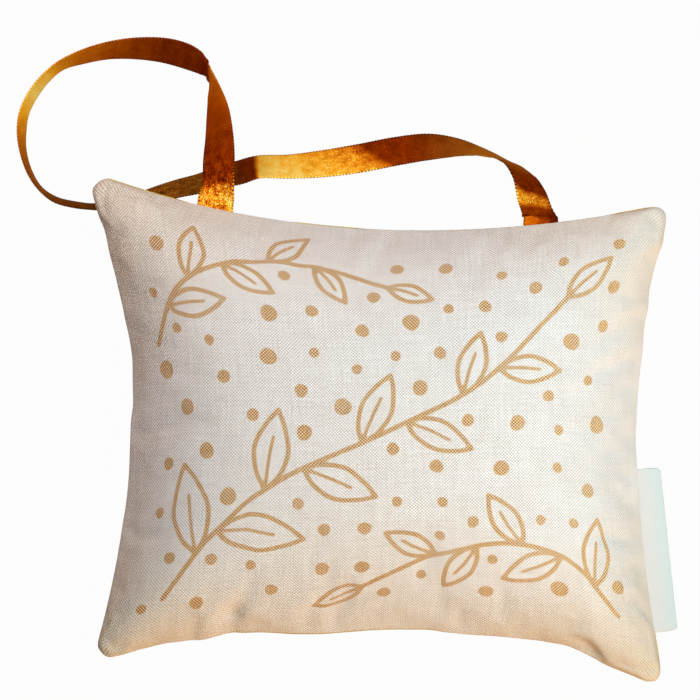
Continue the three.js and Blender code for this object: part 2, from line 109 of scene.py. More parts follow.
# x, y and z of the ribbon's middle from its left root to its right one, its tilt, and how far the way across turns
# along at its folds, in degrees
RIBBON_ROUTE = [
    (-42, 64.3, 18.6, 29, 0), (-41.79, 70.56, 16.3, 30, -1), (-41.79, 76.9, 13.2, 40, -1),
    (-42.27, 82.78, 9.8, 50, 1), (-43.25, 88.43, 7, 68, -6), (-43.99, 91.98, 5.7, 79, 19),
    (-44.54, 93.37, 5.3, 68, 60), (-45.11, 94.67, 5.1, 63, 48), (-46.53, 95.9, 5, 55, 24),
    (-49.63, 97.47, 4.7, 47, 13), (-55.93, 99.23, 4.3, 48, -4), (-63.4, 99.79, 4.5, 55, -4),
    (-70.61, 99.23, 4.8, 63, 1), (-77.3, 97.6, 5, 69, 0), (-83.1, 95.3, 5.1, 76, 0), (-87.1, 91.95, 5.2, 76, 0),
    (-90.2, 88, 5.2, 75, 0), (-92.6, 83.1, 5.2, 76, 0), (-93.3, 78.3, 5.2, 77, 0), (-92.9, 72.9, 5.2, 81, 0),
    (-91.1, 67.3, 5.2, 83, 0), (-88.4, 63.2, 5.2, 84, 0), (-84.5, 60.35, 5.2, 81, 0), (-79.3, 59, 5.2, 80, 0),
    (-74.5, 58.5, 5.2, 80, 0), (-69.3, 58.65, 5.1, 74, 0), (-64.1, 59.75, 5, 68, 0), (-58.1, 61.55, 4.8, 62, 0),
    (-52.4, 63.25, 4.7, 60, 0), (-46.8, 64.55, 4.6, 57, 0), (-41.5, 66.25, 4.4, 53, 0), (-36.8, 67.35, 4.2, 49, 0),
    (-31.6, 68.85, 4.2, 51, 0), (-23.8, 68.95, 4.1, 49, 0), (-14.45, 69.75, 3.7, 42, 0), (-5.1, 71.15, 3.5, 38, 0),
    (4.25, 72.95, 3.5, 38, 0), (12.61, 74.07, 4.2, 43, 4), (19.61, 73.81, 5.6, 58, 2), (25.86, 72.64, 7.7, 75, 2),
    (28.48, 71.91, 8.8, 80, 0), (32.07, 70.61, 10.2, 85, -20), (35.14, 68.98, 12.1, 76, -22),
    (37.43, 66.43, 15.2, 58, 6), (39.57, 61.07, 17.3, 37, 8), (41.35, 56.15, 18.7, 31, -2),
]

# Sheen, shade and glints painted into the satin's colour: a row of the route (0 is the left root), how bright and
# golden the painted sheen is there at its lower and at its upper edge, how many rows later the upper edge gets
# there, and how much painted glint it has
RIBBON_PAINTED_SHEEN = [
    (-9, 0.5, 0.5, 0, 0.9), (0, 0.58, 0.62, 0, 1.2), (0.55, 0.56, 0.62, 0, 1.2), (0.8, 0.34, 0.46, 0.1, 1),
    (1, 0.12, 0.16, 0.1, 0.5), (1.5, 0.08, 0.1, 0, 0.3), (2.2, 0.12, 0.12, 0, 0.12), (3, 0.17, 0.18, 0, 0.06),
    (4, 0.22, 0.3, 0, 0.04), (5, 0.3, 0.44, 0, 0.03), (6.2, 0.3, 0.52, 0, 0.03), (6.8, 0.1, 0.3, 0, 0.03),
    (7.2, 0.06, 0.12, 0, 0.03), (9, 0.12, 0.16, 0, 0.03), (10, 0.14, 0.13, 0, 0.03), (11, 0.1, 0.13, 0, 0.03),
    (12, 0.2, 0.24, 0, 0.06), (13, 0.28, 0.36, 0, 0.12), (14, 0.42, 0.46, 0, 0.1), (15, 0.62, 0.6, 0, 0.06),
    (16, 0.92, 0.84, 0, 0.06), (17, 0.98, 0.94, 0, 0.06), (18, 0.84, 0.76, 0, 0.06), (19, 0.6, 0.54, 0, 0.08),
    (20, 0.42, 0.36, 0, 0.1), (21, 0.26, 0.2, 0, 0.08), (22, 0.2, 0.16, 0, 0.06), (23, 0.1, 0.1, 0, 0.06),
    (24, 0.06, 0.06, 0, 0.06), (25, 0.02, 0.02, 0, 0.06), (26, 0.05, 0.05, 0, 0.2), (27, 0.16, 0.16, 0, 0.45),
    (28, 0.2, 0.2, 0, 0.5), (30, 0.2, 0.2, 0, 0.4), (31, 0.14, 0.14, 0, 0.15), (32.85, 0.12, 0.12, -0.1, 0.06),
    (33.08, 0.88, 0.92, -0.1, 0.12), (34, 0.78, 0.92, 0, 0.2), (35, 0.62, 0.8, 0.3, 0.4),
    (35.5, 0.5, 0.66, 0.8, 0.6), (35.8, 0.34, 0.5, 0.85, 0.5), (36.05, 0.13, 0.16, 0.85, 0.12),
    (36.9, 0.1, 0.12, 0.6, 0.04), (38, 0.13, 0.15, 0, 0.03), (39, 0.22, 0.24, 0, 0.03), (40, 0.36, 0.36, 0, 0.03),
    (41, 0.44, 0.42, 0, 0.03), (42, 0.42, 0.34, 0, 0.03), (43.2, 0.26, 0.2, 0, 0.03), (44, 0.12, 0.1, 0, 0.05),
    (45.28, 0.08, 0.08, -1, 0.12), (45.47, 0.44, 0.66, -0.9, 0.8), (45.68, 0.4, 0.7, -0.65, 0.8),
    (45.84, 0.1, 0.12, -0.5, 0.15), (46.4, 0.02, 0.1, -0.5, 0.1), (47.3, 0, 0.4, -0.5, 0.15),
    (48, 0, 0.4, -0.3, 0.15), (60, 0, 0.4, 0, 0.15),
]

# Rows of the route where the satin turns from copper to olive, and how far
RIBBON_OLIVE = [
    (18, 0), (21, 0.45), (23, 0.7), (30.5, 0.85), (31.6, 0.5), (32.4, 0), (37.4, 0), (38.5, 0.35), (40, 0.6),
    (42.4, 0.6), (43.5, 0.35), (44.3, 0),
]

# Label
LABEL_LENGTH, LABEL_REACH = 42.4, 5.4
LABEL_CENTRE_SHARE = 0.288
LABEL_SHOWS, LABEL_INSIDE = 0.6, 5.8
LABEL_CLOTH, LABEL_FOLD_GAP = 0.16, 0.1

# Turning gap, sewn up by hand
HAND_SEWN_LENGTH, HAND_SEWN_CENTRE_SHARE = 50, 0.416

collection = bpy.context.scene.collection


def linked(name, data):
    thing = bpy.data.objects.new(name, data)
    collection.objects.link(thing)
    return thing


# Camera, straight above, with the photograph's middle and width at the seam's height
def place_camera():
    middle_x, middle_y, seen = -7.7 * MM, 21.15 * MM, 181.8 * MM
    lens, sensor, farthest = 792, 36, 20
    camera = linked("camera", bpy.data.cameras.new("camera"))
    camera.data.lens, camera.data.sensor_width, camera.data.clip_end = lens, sensor, farthest
    camera.location = (middle_x, middle_y, SEAM_HEIGHT * MM + seen * lens / sensor)
    bpy.context.scene.camera = camera


# Plan of the pillow, as the part's source has it

HALF_TOP = PILLOW_WIDTH / 2 + TOP_WIDER_BY / 4
HALF_BOTTOM = PILLOW_WIDTH / 2 - TOP_WIDER_BY / 4
TOP_LEFT = np.array((-HALF_TOP, (PILLOW_HEIGHT + RIGHT_SIDE_DROP) / 2))
TOP_RIGHT = np.array((HALF_TOP, (PILLOW_HEIGHT - RIGHT_SIDE_DROP) / 2))
BOTTOM_LEFT = np.array((-HALF_BOTTOM, (RIGHT_SIDE_DROP - PILLOW_HEIGHT) / 2))
BOTTOM_RIGHT = np.array((HALF_BOTTOM, (-RIGHT_SIDE_DROP - PILLOW_HEIGHT) / 2))
ENDS = {
    "top": (TOP_LEFT, TOP_RIGHT, -1),
    "bottom": (BOTTOM_LEFT, BOTTOM_RIGHT, 1),
    "left": (BOTTOM_LEFT, TOP_LEFT, -1),
    "right": (BOTTOM_RIGHT, TOP_RIGHT, 1),
}


def unit(way):
    return way / np.linalg.norm(way, axis=-1, keepdims=True)


# A side between its sharp corners
def sharp_side(name, share):
    start, end, turn = ENDS[name]
    share = np.asarray(share, float)
    lean = (1 - DEEPEST[name]) / DEEPEST[name]
    along = lean * share / (lean * share + 1 - share)
    bow = DRAWN_IN[name] * 4 * along * (1 - along) * turn
    way = unit(end - start)
    return start + (end - start) * share[..., None] + np.array((-way[1], way[0])) * bow[..., None]


# The rounding of the corner where two sides meet, each at its start or, where flipped, at its end
def corner_arc(name_a, flip_a, name_b, flip_b):
    near = 0.03
    tip = sharp_side(name_a, 1 if flip_a else 0)
    way_a = unit(sharp_side(name_a, 1 - near if flip_a else near) - tip)
    way_b = unit(sharp_side(name_b, 1 - near if flip_b else near) - tip)
    middle = unit(way_a + way_b)
    half = math.acos(middle @ way_a)
    centre = tip + middle * CORNER_RADIUS / math.sin(half)
    return tip, middle, half, centre, CORNER_RADIUS / math.tan(half)


ARCS = [
    corner_arc("top", False, "left", True),
    corner_arc("top", True, "right", True),
    corner_arc("bottom", False, "left", False),
    corner_arc("bottom", True, "right", False),
]


# How far rounding its two corners moves the points of a side
def roundings(name, share):
    points = sharp_side(name, np.asarray(share, float))
    moved = np.zeros_like(points)
    for tip, middle, half, centre, reach in ARCS:
        offset = points - tip
        nearness = np.linalg.norm(offset, axis=-1) / reach
        side = np.sign(middle[0] * offset[..., 1] - middle[1] * offset[..., 0])
        angle = -side * np.clip(nearness, 0, 1) * (math.pi / 2 - half)
        cosine, sine = np.cos(angle), np.sin(angle)
        spoke = -np.stack([middle[0] * cosine - middle[1] * sine, middle[0] * sine + middle[1] * cosine], -1)
        near = (nearness < 1)[..., None]
        moved = np.where(near, centre + spoke * CORNER_RADIUS - points, moved)
    return moved


# A patch between four sides, u from left to right and v from bottom to top
def patch(side, fade_u, fade_v, u, v):
    left, right = fade_u(u)[..., None], fade_u(1 - u)[..., None]
    low, high = fade_v(v)[..., None], fade_v(1 - v)[..., None]
    zero, one = np.zeros(()), np.ones(())
    return (
        side("left", v) * left + side("right", v) * right + side("bottom", u) * low + side("top", u) * high
        - side("bottom", zero) * left * low - side("bottom", one) * right * low
        - side("top", zero) * left * high - side("top", one) * right * high
    )


# How far the trims move a point of the plan: all the way at their own seam, and less and less inwards
def trimmed(u, v):
    fade, corner_fade = 0.12, 0.02
    moved = np.zeros((*u.shape, 2))
    for name, along, away, out in (
        ("left", v, u, (-1, 0)), ("right", v, 1 - u, (1, 0)), ("bottom", u, v, (0, -1)), ("top", u, 1 - v, (0, 1)),
    ):
        share, reach = np.array(OUTLINE_TRIMS[name]).T
        near = np.clip(1 - away / fade, 0, 1) ** 2 * np.clip(np.minimum(along, 1 - along) / corner_fade, 0, 1)
        moved += (np.interp(along, share, reach) * near)[..., None] * np.array(out)
    return moved


# Where a share of the panel lies in plan, sewn and drawn in
def plan_point(u, v):
    u, v = np.broadcast_arrays(np.asarray(u, float), np.asarray(v, float))
    fade = 3 * CORNER_RADIUS
    inside_u, inside_v = np.clip(u, 0, 1), np.clip(v, 0, 1)
    sharp = patch(sharp_side, lambda s: 1 - s, lambda s: 1 - s, u, v) + trimmed(inside_u, inside_v)
    return sharp + patch(
        roundings, lambda s: np.clip(1 - s * PILLOW_WIDTH / fade, 0, None),
        lambda s: np.clip(1 - s * PILLOW_HEIGHT / fade, 0, None), inside_u, inside_v,
    )


# The same point drawn in from the seams by a distance
def inset_point(u, v, distance):
    u, v = np.broadcast_arrays(np.asarray(u, float), np.asarray(v, float))
    across = np.linalg.norm(sharp_side("left", v) - sharp_side("right", v), axis=-1)
    up = np.linalg.norm(sharp_side("bottom", u) - sharp_side("top", u), axis=-1)
    du, dv = distance / across, distance / up
    return plan_point(du + u * (1 - 2 * du), dv + v * (1 - 2 * dv))


# Where a share of the panel lies on the flat cloth, before it is sewn and stuffed
def flat_point(u, v):
    u, v = np.asarray(u, float)[..., None], np.asarray(v, float)[..., None]
    return (
        (1 - u) * (1 - v) * BOTTOM_LEFT + u * (1 - v) * BOTTOM_RIGHT
        + (1 - u) * v * TOP_LEFT + u * v * TOP_RIGHT
    )


# The flat place of every corner of a face's cells, by the way along the cloth itself
def cloth_places(face):
    across = np.linalg.norm(np.diff(face, axis=0), axis=-1)
    up = np.linalg.norm(np.diff(face, axis=1), axis=-1)
    u = np.concatenate([np.zeros((1, ROWS + 1)), np.cumsum(across, 0)])
    v = np.concatenate([np.zeros((COLUMNS + 1, 1)), np.cumsum(up, 1)], 1)
    return flat_point(u / u[-1], v / v[:, -1:])


# The cells' shares of a side, which crowd towards the seams
def shares(count):
    even = np.linspace(0, 1, count + 1)
    return even + ((1 - np.cos(np.pi * even)) / 2 - even) * CROWDING


# A grid's vertices, each with its column and row
def grid_cells(shape, columns, rows):
    for vert in bmesh.ops.create_grid(shape, x_segments=columns, y_segments=rows, size=0.5)["verts"]:
        yield vert, round((vert.co.x + 0.5) * columns), round((vert.co.y + 0.5) * rows)


def turned_over(shape, verts):
    bmesh.ops.reverse_faces(shape, faces=list({face for vert in verts for face in vert.link_faces}))


# Cover, blown up

# Both panels sewn along the seam and blown up as cloth, [side, column, row] with z over the seam
def stuffed_cover():
    start_crown, fullness, growth, frames = 20.5, 0.46, 0.016, 18
    large = 10  # the cloth is blown up at this scale, at which its solver is steady
    us, vs = shares(COLUMNS), shares(ROWS)
    u_grid, v_grid = np.meshgrid(us, vs, indexing="ij")
    plan = plan_point(u_grid, v_grid)
    crown = np.clip(16 * u_grid * (1 - u_grid) * v_grid * (1 - v_grid), 0, None) ** fullness
    cover = np.zeros((2, COLUMNS + 1, ROWS + 1, 3))
    for side, sign in enumerate((1, -1)):
        cover[side, ..., :2] = plan
        cover[side, ..., 2] = sign * start_crown * crown
    bag = bmesh.new()
    column, row, face = (bag.verts.layers.int.new(name) for name in ("column", "row", "face"))
    for side in (0, 1):
        cells = list(grid_cells(bag, COLUMNS, ROWS))
        for vert, i, j in cells:
            vert[column], vert[row], vert[face] = i, j, side
            vert.co = Vector(cover[side, i, j]) * MM * large
        if side:
            turned_over(bag, [vert for vert, _, _ in cells])
    on_seam = [vert for vert in bag.verts if vert[column] in (0, COLUMNS) or vert[row] in (0, ROWS)]
    bmesh.ops.remove_doubles(bag, verts=on_seam, dist=1e-5)
    places = [(vert[face], vert[column], vert[row]) for vert in bag.verts]
    mesh = bpy.data.meshes.new("bag")
    bag.to_mesh(mesh)
    bag.free()
    blown = linked("bag", mesh)
    seam = blown.vertex_groups.new(name="seam")
    seam.add([n for n, (_, i, j) in enumerate(places) if i in (0, COLUMNS) or j in (0, ROWS)], 1, "REPLACE")
    cloth = blown.modifiers.new("cloth", "CLOTH")
    cloth.point_cache.frame_start, cloth.point_cache.frame_end = 1, frames
    cloth.collision_settings.use_collision = False
    settings = cloth.settings
    settings.quality, settings.mass = 6, 0.05
    settings.tension_stiffness = settings.compression_stiffness = 40
    settings.shear_stiffness, settings.bending_stiffness = 10, 0.3
    settings.use_pressure, settings.uniform_pressure_force = True, 4
    settings.shrink_min = settings.shrink_max = -growth
    settings.vertex_group_mass, settings.pin_stiffness = "seam", 1
    settings.effector_weights.gravity = 0
    for step in range(1, frames + 1):
        bpy.context.scene.frame_set(step)
    done = blown.evaluated_get(bpy.context.evaluated_depsgraph_get()).data
    for vert, (side, i, j) in zip(done.vertices, places):
        at = np.array(vert.co) / MM / large
        cover[side, i, j] = at
        if i in (0, COLUMNS) or j in (0, ROWS):
            cover[:, i, j] = at
    bpy.context.scene.frame_set(1)
    bpy.data.objects.remove(blown)
    bpy.data.meshes.remove(mesh)
    return cover


# Dents and soft folds: x, y, half widths along and across, turn in degrees and depth
FRONT_DENTS = [
    (-38.4, -48, 3.2, 2.2, 62, 2.1),
    (-37, -50.8, 4.5, 1.4, 12, 0.6),
    (-20.7, 50.2, 8, 2.4, 88, 0.5),
    (-7.9, 49.2, 8, 2.4, 84, 0.55),
    (2.5, 50.4, 7, 2.2, 96, 0.4),
    (-33.5, 51.5, 6, 2.4, 80, 0.35),
    (53.6, -56.3, 3.6, 1.5, -36, 1.5),
    (60.6, 51, 5, 3, 10, 0.4),
]


# Heights kept over 0, with a soft change to the flat
def smooth_floor(height, roundness):
    return (height + np.sqrt(height**2 + roundness**2)) / 2


def normals_of(face, sign):
    along_u, along_v = np.gradient(face, axis=0), np.gradient(face, axis=1)
    normal = np.cross(along_u, along_v) * sign
    return normal / np.maximum(np.linalg.norm(normal, axis=-1, keepdims=True), 1e-9)


# The blown-up cover brought to the pillow's depth, with its dents, and flat where it rests
def settled(cover):
    rest_roundness = 0.7
    front, back = cover[0].copy(), cover[1].copy()
    front[..., 2] *= FRONT_RISE / front[..., 2].max()
    normal = normals_of(front, 1)
    for x, y, long, wide, turn, depth in FRONT_DENTS:
        turn = math.radians(turn)
        dx, dy = front[..., 0] - x, front[..., 1] - y
        along = dx * math.cos(turn) + dy * math.sin(turn)
        across = dy * math.cos(turn) - dx * math.sin(turn)
        front = front - normal * (depth * np.exp(-((along / long) ** 2) - (across / wide) ** 2))[..., None]
    front[..., 2] += SEAM_HEIGHT
    back[..., 2] *= BACK_DROP / -back[..., 2].min()
    back[..., 2] = smooth_floor(back[..., 2] + SEAM_HEIGHT, rest_roundness)
    return front, back


# Half the room between the two folds, wider where the ribbon or the label comes out
def seam_room(point, roots):
    least, widening, fade = 0.13, 0.2, 2.2
    room = least
    for (x, y), half in roots:
        away = max(0.0, math.hypot(point[0] - x, point[1] - y) - half)
        room = max(room, least + widening * math.exp(-((away / fade) ** 2)))
    return room


# Pieces and their meshes

def shaded(name, mesh, smooth=True):
    mesh.polygons.foreach_set("use_smooth", [smooth] * len(mesh.polygons))
    return linked(name, mesh)


def finished(name, shape, smooth=True):
    mesh = bpy.data.meshes.new(name)
    shape.to_mesh(mesh)
    shape.free()
    return shaded(name, mesh, smooth)


def with_modifiers_applied(piece):
    graph = bpy.context.evaluated_depsgraph_get()
    worked = piece.evaluated_get(graph)
    mesh = bpy.data.meshes.new_from_object(worked, preserve_all_data_layers=True, depsgraph=graph)
    piece.modifiers.clear()
    old, piece.data = piece.data, mesh
    mesh.name = piece.name
    bpy.data.meshes.remove(old)
    return piece


def thicken(piece, thickness):
    wall = piece.modifiers.new("thickness", "SOLIDIFY")
    wall.thickness, wall.offset = thickness, 0
    return piece


def subdivide(piece, levels):
    smoother = piece.modifiers.new("smoother", "SUBSURF")
    smoother.levels = smoother.render_levels = levels
    return with_modifiers_applied(piece)


# A piece's own map, from the share of the map at each vertex
def lay_map(shape, name, spots):
    layer = shape.loops.layers.uv.new(name)
    for face in shape.faces:
        for loop in face.loops:
            loop[layer].uv = spots[loop.vert]


# The cut size of a panel, of which its own map gives shares
CUT_WIDTH = 2 * HALF_TOP + 2 * SEAM_ALLOWANCE
CUT_HEIGHT = PILLOW_HEIGHT + RIGHT_SIDE_DROP + 2 * SEAM_ALLOWANCE

# Steps of the seam allowance: the way in from the fold, and the lift over half the room
ALLOWANCE_STEPS = ((0.02, 0.06), (0.5, 0), (2.2, 0), (SEAM_ALLOWANCE, 0.1))
FOLD_HALF_THICKNESS = 0.3


def panel(name, face, sign, levels, roots):
    us, vs = shares(COLUMNS), shares(ROWS)
    flat = cloth_places(face)
    shape = bmesh.new()
    spot_u, spot_v, inset, flat_x, flat_y = (
        shape.verts.layers.float.new(key) for key in ("u", "v", "inset", "flat_x", "flat_y")
    )
    for vert, i, j in grid_cells(shape, COLUMNS, ROWS):
        vert[spot_u], vert[spot_v] = us[i], vs[j]
        vert[flat_x], vert[flat_y] = flat[i, j]
        vert.co = Vector(face[i, j]) * MM
    # the rim rolls over a fold and runs inwards as the seam allowance
    edge = [e for e in shape.edges if e.is_boundary]
    for vert in {v for e in edge for v in e.verts}:
        u, v = vert[spot_u], vert[spot_v]
        plan = plan_point(u, v)
        vert.co.z = (SEAM_HEIGHT + sign * (seam_room(plan, roots) + FOLD_HALF_THICKNESS)) * MM
        if sign < 0:
            outwards = (plan - inset_point(u, v, 1)) * back_shows(u, v)
            vert.co += Vector((*outwards, 0)) * MM
    for distance, lift in ALLOWANCE_STEPS:
        made = bmesh.ops.extrude_edge_only(shape, edges=edge)["geom"]
        edge = [e for e in made if isinstance(e, bmesh.types.BMEdge) and e.is_boundary]
        for vert in {v for e in edge for v in e.verts}:
            u, v = vert[spot_u], vert[spot_v]
            room = seam_room(plan_point(u, v), roots)
            x, y = inset_point(u, v, distance)
            vert.co = Vector((x, y, SEAM_HEIGHT + sign * (room + lift))) * MM
            vert[inset] = distance
    bmesh.ops.recalc_face_normals(shape, faces=shape.faces)
    middle = min(shape.faces, key=lambda f: (f.calc_center_median() - Vector((0, 0, sign))).length)
    if middle.normal.z * sign < 0:
        bmesh.ops.reverse_faces(shape, faces=shape.faces)
    spots = {}
    for vert in shape.verts:
        u, v = vert[spot_u], vert[spot_v]
        x = vert[flat_x] + ((u == 1) - (u == 0)) * vert[inset]
        y = vert[flat_y] + ((v == 1) - (v == 0)) * vert[inset]
        spots[vert] = (x / CUT_WIDTH + 0.5, y / CUT_HEIGHT + 0.5)
    lay_map(shape, "cloth", spots)
    return subdivide(finished(name, shape), levels)


# How far the back's fold reaches out past the front's, at a share of the seams
def back_shows(u, v):
    ease = 0.02
    shows = 0.0
    for side, start, end, reach in BACK_SHOWS:
        on_side = {"top": v == 1, "bottom": v == 0, "left": u == 0, "right": u == 1}[side]
        share = u if side in ("top", "bottom") else v
        if on_side:
            inside = min(share - start, end - share) / ease + 0.5
            shows = max(shows, reach * min(max(inside, 0.0), 1.0))
    return shows


# The flat place of each of a panel's vertices
def map_positions(piece):
    mesh = piece.data
    corner_uv = np.empty(len(mesh.loops) * 2, np.float32)
    mesh.uv_layers["cloth"].data.foreach_get("uv", corner_uv)
    corner = np.empty(len(mesh.loops), np.int64)
    mesh.loops.foreach_get("vertex_index", corner)
    spots = np.empty((len(mesh.vertices), 2))
    spots[corner] = corner_uv.reshape(-1, 2)
    return (spots - 0.5) * (CUT_WIDTH, CUT_HEIGHT)


# Print: leafy sprigs and loose dots, drawn as strokes

STEM_WIDTH, LEAF_LINE_WIDTH, VEIN_WIDTH = 1.35, 1.25, 0.95

# Half a leaf, as shares of its length and of its width
LEAF_SHAPE = ((0, 0), (0.2, 0.34), (0.5, 0.5), (0.8, 0.28), (1, 0))


def smooth_line(knots, steps):
    knots = [np.array(k, float) for k in knots]
    knots = [2 * knots[0] - knots[1], *knots, 2 * knots[-1] - knots[-2]]
    line = []
    for a, b, c, d in zip(knots, knots[1:], knots[2:], knots[3:]):
        for t in np.linspace(0, 1, steps, endpoint=False):
            line.append(
                0.5 * (2 * b + (c - a) * t + (2 * a - 5 * b + 4 * c - d) * t**2 + (3 * b - a - 3 * c + d) * t**3)
            )
    return np.array([*line, knots[-2]])


def leaf_strokes(base, angle, length, width):
    way = np.array((math.cos(angle), math.sin(angle)))
    side = np.array((-way[1], way[0]))
    strokes = []
    for sign in (1, -1):
        knots = [base + way * length * along + side * sign * width * out for along, out in LEAF_SHAPE]
        strokes.append((smooth_line(knots, 6), LEAF_LINE_WIDTH))
    vein = [base, base + way * length * 0.35 + side * 0.3, base + way * length * 0.66]
    return [*strokes, (smooth_line(vein, 5), VEIN_WIDTH)]


# Each sprig: the stem's knots, leaf length at its foot and tip, and leaves as share, side and lean
SPRIGS = [
    ([(-57, -44), (-44, -26), (-24, -11), (2, 0), (27, 13), (50, 35)], 25, 15,
     [(0.13, 1, 48), (0.2, -1, 52), (0.33, 1, 46), (0.42, -1, 50), (0.54, 1, 46), (0.63, -1, 48),
      (0.75, 1, 42), (0.83, -1, 44), (0.995, 0, 0)]),
    ([(61, -49), (49, -37), (31, -32), (12, -36), (-6, -45)], 19, 13,
     [(0.14, -1, 50), (0.3, 1, 48), (0.44, -1, 50), (0.6, 1, 46), (0.74, -1, 48), (0.995, 0, 0)]),
    ([(-63, 22), (-54, 37), (-38, 46), (-17, 47), (3, 40)], 18, 12,
     [(0.16, -1, 50), (0.32, 1, 44), (0.46, -1, 48), (0.62, 1, 40), (0.76, -1, 46), (0.995, 0, 0)]),
]


# The print's strokes, each a line and its width, and its dots
def print_drawing():
    seed, tries, ink_gap, dot_gap, leaf_slimness = 11, 9000, 2.4, 6.4, 0.42
    radii = (1.4, 1.6, 1.7, 1.8, 1.9, 2.1, 2.3)
    (left, right), (low, high) = (-64, 66), (-54, 56)
    (half_width, side_bow, tall), (half_height, end_bow, wide) = (64, 3, 60), (50, 2, 70)
    strokes, dots = [], []
    for knots, first_leaf, last_leaf, leaves in SPRIGS:
        stem = smooth_line(knots, 12)
        strokes.append((stem, STEM_WIDTH))
        for share, side, lean in leaves:
            place = share * (len(stem) - 1)
            knot = min(int(place), len(stem) - 2)
            way = stem[knot + 1] - stem[knot]
            at = stem[knot] + way * (place - knot)
            length = first_leaf + (last_leaf - first_leaf) * share
            angle = math.atan2(way[1], way[0]) + side * math.radians(lean)
            strokes += leaf_strokes(at, angle, length, length * leaf_slimness)
    drawn = np.concatenate([line for line, _ in strokes])
    chance = random.Random(seed)
    for _ in range(tries):
        x, y = chance.uniform(left, right), chance.uniform(low, high)
        radius = chance.choice(radii)
        fits_across = abs(x) < half_width - side_bow * (1 - (y / tall) ** 2)
        fits_up = abs(y) < half_height - end_bow * (1 - (x / wide) ** 2)
        free = np.hypot(drawn[:, 0] - x, drawn[:, 1] - y).min() > radius + ink_gap
        apart = all(math.hypot(x - a, y - b) > radius + r + dot_gap for a, b, r in dots)
        if fits_across and fits_up and free and apart:
            dots.append((x, y, radius))
    return strokes, dots


# Distance of each point of the flat cloth from the ink's edge, less than 0 in the ink
def ink_edge(spots):
    strokes, dots = print_drawing()
    far, margin, dot_margin = 9.0, 4, 3
    away = np.full(len(spots), far)
    for line, width in strokes:
        low, high = line.min(0) - margin, line.max(0) + margin
        near = np.flatnonzero(((spots > low) & (spots < high)).all(1))
        around = spots[near]
        best = np.full(len(near), far)
        for a, b in zip(line, line[1:]):
            step = b - a
            share = np.clip(((around - a) @ step) / (step @ step), 0, 1)
            best = np.minimum(best, np.linalg.norm(around - a - share[:, None] * step, axis=1))
        away[near] = np.minimum(away[near], best - width / 2)
    for x, y, radius in dots:
        dx, dy = spots[:, 0] - x, spots[:, 1] - y
        near = (np.abs(dx) < radius + dot_margin) & (np.abs(dy) < radius + dot_margin)
        # the dots are a little out of round
        turn = np.arctan2(dy[near], dx[near])
        wobble = 1 + 0.04 * np.cos(2 * turn + x) + 0.03 * np.cos(3 * turn + y)
        away[near] = np.minimum(away[near], np.hypot(dx[near], dy[near]) - radius * wobble)
    return away


def add_print(piece):
    edge = ink_edge(map_positions(piece))
    layer = piece.data.attributes.new("ink_edge", "FLOAT", "POINT")
    layer.data.foreach_set("value", edge.astype(np.float32))


# Ribbon

# Both roots, the way from one to the other, and the way out of the seam
def root_points():
    left, right = (plan_point(share, 1) for share in RIBBON_SHARES)
    way = unit(right - left)
    out = np.array((-way[1], way[0]))
    return left + out * RIBBON_SHOWS, right + out * RIBBON_SHOWS, way, out


# A smooth curve through knots, at a share of their count. stretch lets near knots turn it tighter.
def hermite(knots, t, stretch=0.25):
    count = len(knots) - 1
    place = min(t * count, count - 1e-9)
    i, w = int(place), place - int(place)
    p1, p2 = knots[i], knots[i + 1]
    p0 = knots[i - 1] if i else 2 * p1 - p2
    p3 = knots[i + 2] if i + 2 <= count else 2 * p2 - p1
    d0, d1, d2 = (max(float(((b - a) ** 2).sum()) ** stretch, 1e-4) for a, b in ((p0, p1), (p1, p2), (p2, p3)))
    start = ((p1 - p0) / d0 - (p2 - p0) / (d0 + d1) + (p2 - p1) / d1) * d1
    end = ((p2 - p1) / d1 - (p3 - p1) / (d1 + d2) + (p3 - p2) / d2) * d1
    return (
        p1 + start * w + (-3 * p1 + 3 * p2 - 2 * start - end) * w**2
        + (2 * p1 - 2 * p2 + start + end) * w**3
    )


def travelled_along(line):
    return np.concatenate([[0], np.cumsum(np.linalg.norm(np.diff(line, axis=0), axis=1))])


